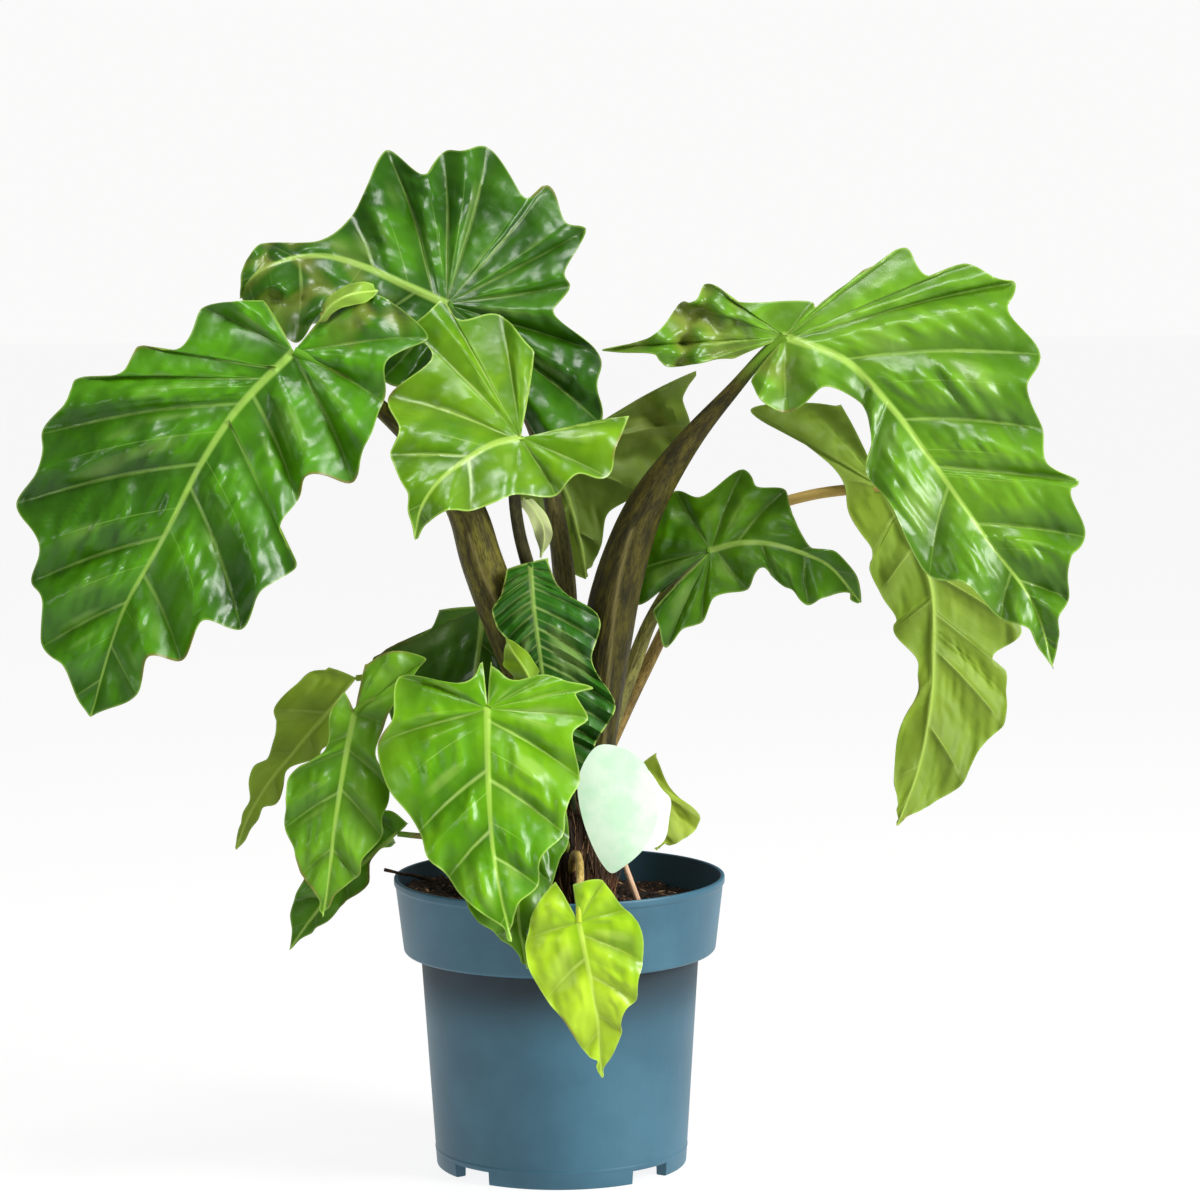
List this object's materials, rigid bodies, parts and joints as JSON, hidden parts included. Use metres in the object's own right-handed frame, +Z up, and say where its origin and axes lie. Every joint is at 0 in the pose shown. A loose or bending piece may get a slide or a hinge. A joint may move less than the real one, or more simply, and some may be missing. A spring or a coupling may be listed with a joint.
{
  "type": "potted alocasia plant",
  "caption": "Large-leaved alocasia plant with ribbed, wavy heart-shaped leaves on thick stems, rooted in soil in a flared plastic nursery pot with a plain plant label.",
  "frame": {"origin": "the centre of the pot's foot, on the surface the pot stands on", "axes": "+Z up along the pot's axis, +X to the right and +Y away, as seen from the front"},
  "size_m": [0.749, 0.2804, 0.7372],
  "materials": {
    "pot": "satin",
    "soil": "matte",
    "crown": "matte",
    "stem": "satin",
    "leaf_green": "gloss",
    "leaf_dark": "gloss",
    "leaf_lime": "gloss",
    "leaf_underside": "satin",
    "label": "satin",
    "stick": "matte",
    "bark": "matte"
  },
  "bodies": {
    "root": {"pot": "pot", "crown": "crown", "soil": "soil", "left_leaf": "leaf_green", "left_leaf_stem": "stem", "top_leaf": "leaf_green", "top_leaf_stem": "stem", "lime_leaf": "leaf_lime", "lime_leaf_stem": "stem", "right_leaf": "leaf_green", "right_leaf_stem": "stem", "mid_right_leaf": "leaf_green", "mid_right_leaf_stem": "stem", "far_right_leaf": "leaf_underside", "far_right_leaf_stem": "stem", "back_leaf": "leaf_underside", "back_leaf_stem": "stem", "low_left_back_leaf": "leaf_underside", "low_left_back_leaf_stem": "stem", "low_left_leaf": "leaf_green", "low_left_leaf_stem": "stem", "low_left_under_leaf": "leaf_green", "low_left_under_leaf_stem": "stem", "shaded_leaf": "leaf_dark", "shaded_leaf_stem": "stem", "front_leaf": "leaf_lime", "front_leaf_stem": "stem", "front_under_leaf": "leaf_green", "front_under_leaf_stem": "stem", "young_leaf": "leaf_dark", "young_leaf_stem": "stem", "small_front_leaf": "leaf_lime", "small_front_leaf_stem": "stem", "label_side_leaf": "leaf_underside", "label_side_leaf_stem": "stem", "label_front": "label", "label_back": "label", "label_stick": "stick", "twig": "bark"}
  },
  "joints": []
}
